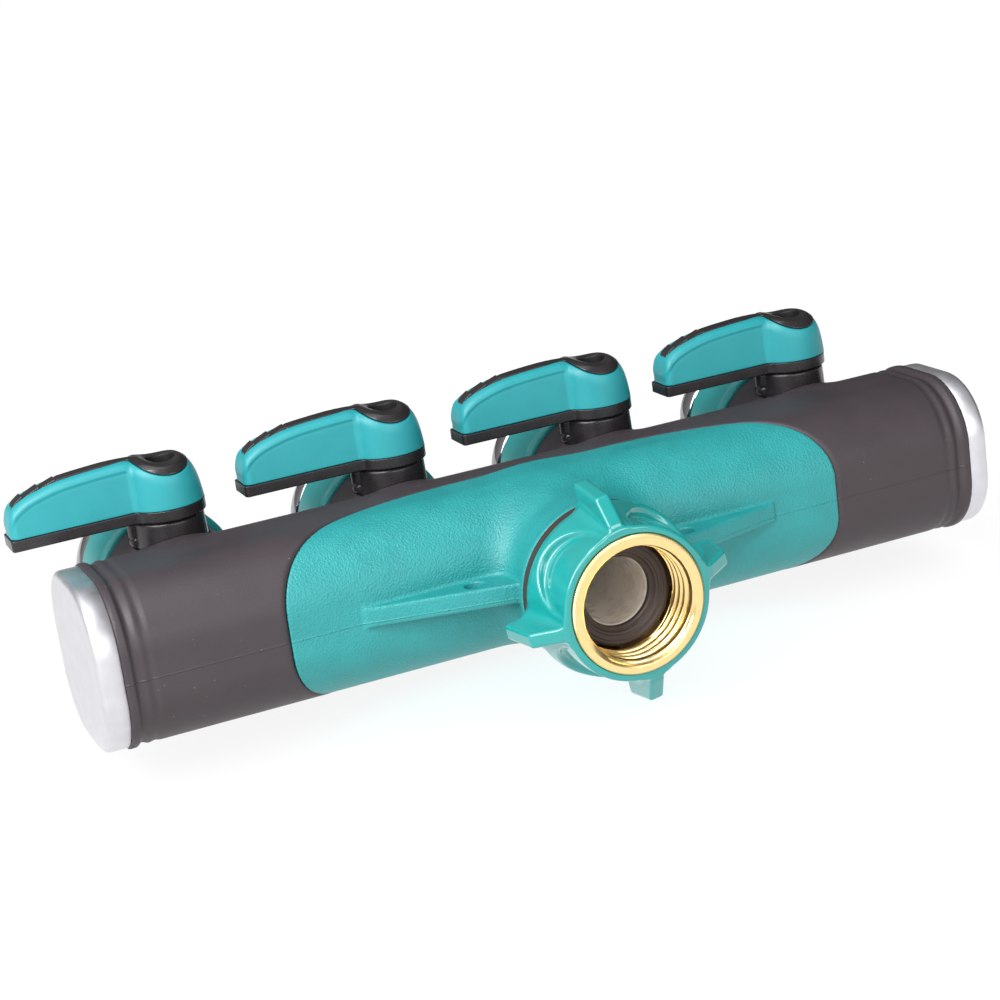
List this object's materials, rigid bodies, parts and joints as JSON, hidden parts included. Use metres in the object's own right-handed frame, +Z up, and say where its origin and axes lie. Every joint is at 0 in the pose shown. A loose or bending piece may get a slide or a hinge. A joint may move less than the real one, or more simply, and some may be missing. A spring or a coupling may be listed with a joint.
{
  "type": "hose splitter",
  "caption": "Garden hose manifold with a swivel inlet nut, a row of quarter-turn lever valves on top and threaded outlets at the back.",
  "frame": {"origin": "centre of the inlet nut's mouth, on the inlet axis", "axes": "+X along the body, -Y out of the inlet, +Y out of the outlets, +Z up through the levers"},
  "size_m": [0.2254, 0.111, 0.0635],
  "materials": {
    "soft_grey_skin": "soft matte, fine grain",
    "teal_cover": "pebbled matte",
    "teal_nut": "glossy moulded",
    "teal_collar": "satin moulded",
    "teal_lever": "satin soft grip",
    "black_plastic": "satin moulded",
    "grey_core": "natural moulded",
    "silver_cap": "satin",
    "plated_outlet": "polished",
    "plated_ball": "polished",
    "brass": "polished",
    "stem_brass": "turned",
    "steel": "blackened",
    "seal_rubber": "matte",
    "white_seat": "smooth"
  },
  "bodies": {
    "body": {"body_skin": "soft_grey_skin", "end_cap_left": "silver_cap", "end_cap_right": "silver_cap", "end_plug_left": "grey_core", "end_plug_right": "grey_core", "front_cover": "teal_cover", "inlet_spud": "grey_core", "manifold_core": "grey_core", "neck_ring": "seal_rubber", "outlet_collar_1": "teal_collar", "outlet_collar_2": "teal_collar", "outlet_collar_3": "teal_collar", "outlet_collar_4": "teal_collar", "outlet_fitting_1": "plated_outlet", "outlet_fitting_2": "plated_outlet", "outlet_fitting_3": "plated_outlet", "outlet_fitting_4": "plated_outlet", "outlet_rings": "seal_rubber", "plug_seals": "seal_rubber", "spud_ring": "seal_rubber", "stem_housing_1": "black_plastic", "stem_housing_2": "black_plastic", "stem_housing_3": "black_plastic", "stem_housing_4": "black_plastic", "valve_seats_1": "white_seat", "valve_seats_2": "white_seat", "valve_seats_3": "white_seat", "valve_seats_4": "white_seat"},
    "inlet_nut": {"nut_grip": "teal_nut", "nut_insert": "brass", "inlet_washer": "seal_rubber"},
    "lever_1": {"lever_grip_1": "teal_lever", "lever_core_1": "black_plastic", "lever_screw_1": "steel", "valve_stem_1": "stem_brass", "stem_ring_1": "seal_rubber", "valve_ball_1": "plated_ball"},
    "lever_2": {"lever_grip_2": "teal_lever", "lever_core_2": "black_plastic", "lever_screw_2": "steel", "valve_stem_2": "stem_brass", "stem_ring_2": "seal_rubber", "valve_ball_2": "plated_ball"},
    "lever_3": {"lever_grip_3": "teal_lever", "lever_core_3": "black_plastic", "lever_screw_3": "steel", "valve_stem_3": "stem_brass", "stem_ring_3": "seal_rubber", "valve_ball_3": "plated_ball"},
    "lever_4": {"lever_grip_4": "teal_lever", "lever_core_4": "black_plastic", "lever_screw_4": "steel", "valve_stem_4": "stem_brass", "stem_ring_4": "seal_rubber", "valve_ball_4": "plated_ball"}
  },
  "joints": [
    {"name": "nut_swivel", "type": "hinge", "parent": "body", "child": "inlet_nut", "pos_m": [0, 0.008, 0], "axis": [0, 1, 0], "continuous": true},
    {"name": "valve_1_turn", "type": "hinge", "parent": "body", "child": "lever_1", "pos_m": [-0.07995, 0.0718, 0.025], "axis": [0, 0, 1], "range_deg": [-90, 0]},
    {"name": "valve_2_turn", "type": "hinge", "parent": "body", "child": "lever_2", "pos_m": [-0.02665, 0.0718, 0.025], "axis": [0, 0, 1], "range_deg": [-90, 0]},
    {"name": "valve_3_turn", "type": "hinge", "parent": "body", "child": "lever_3", "pos_m": [0.02665, 0.0718, 0.025], "axis": [0, 0, 1], "range_deg": [-90, 0]},
    {"name": "valve_4_turn", "type": "hinge", "parent": "body", "child": "lever_4", "pos_m": [0.07995, 0.0718, 0.025], "axis": [0, 0, 1], "range_deg": [-90, 0]}
  ]
}
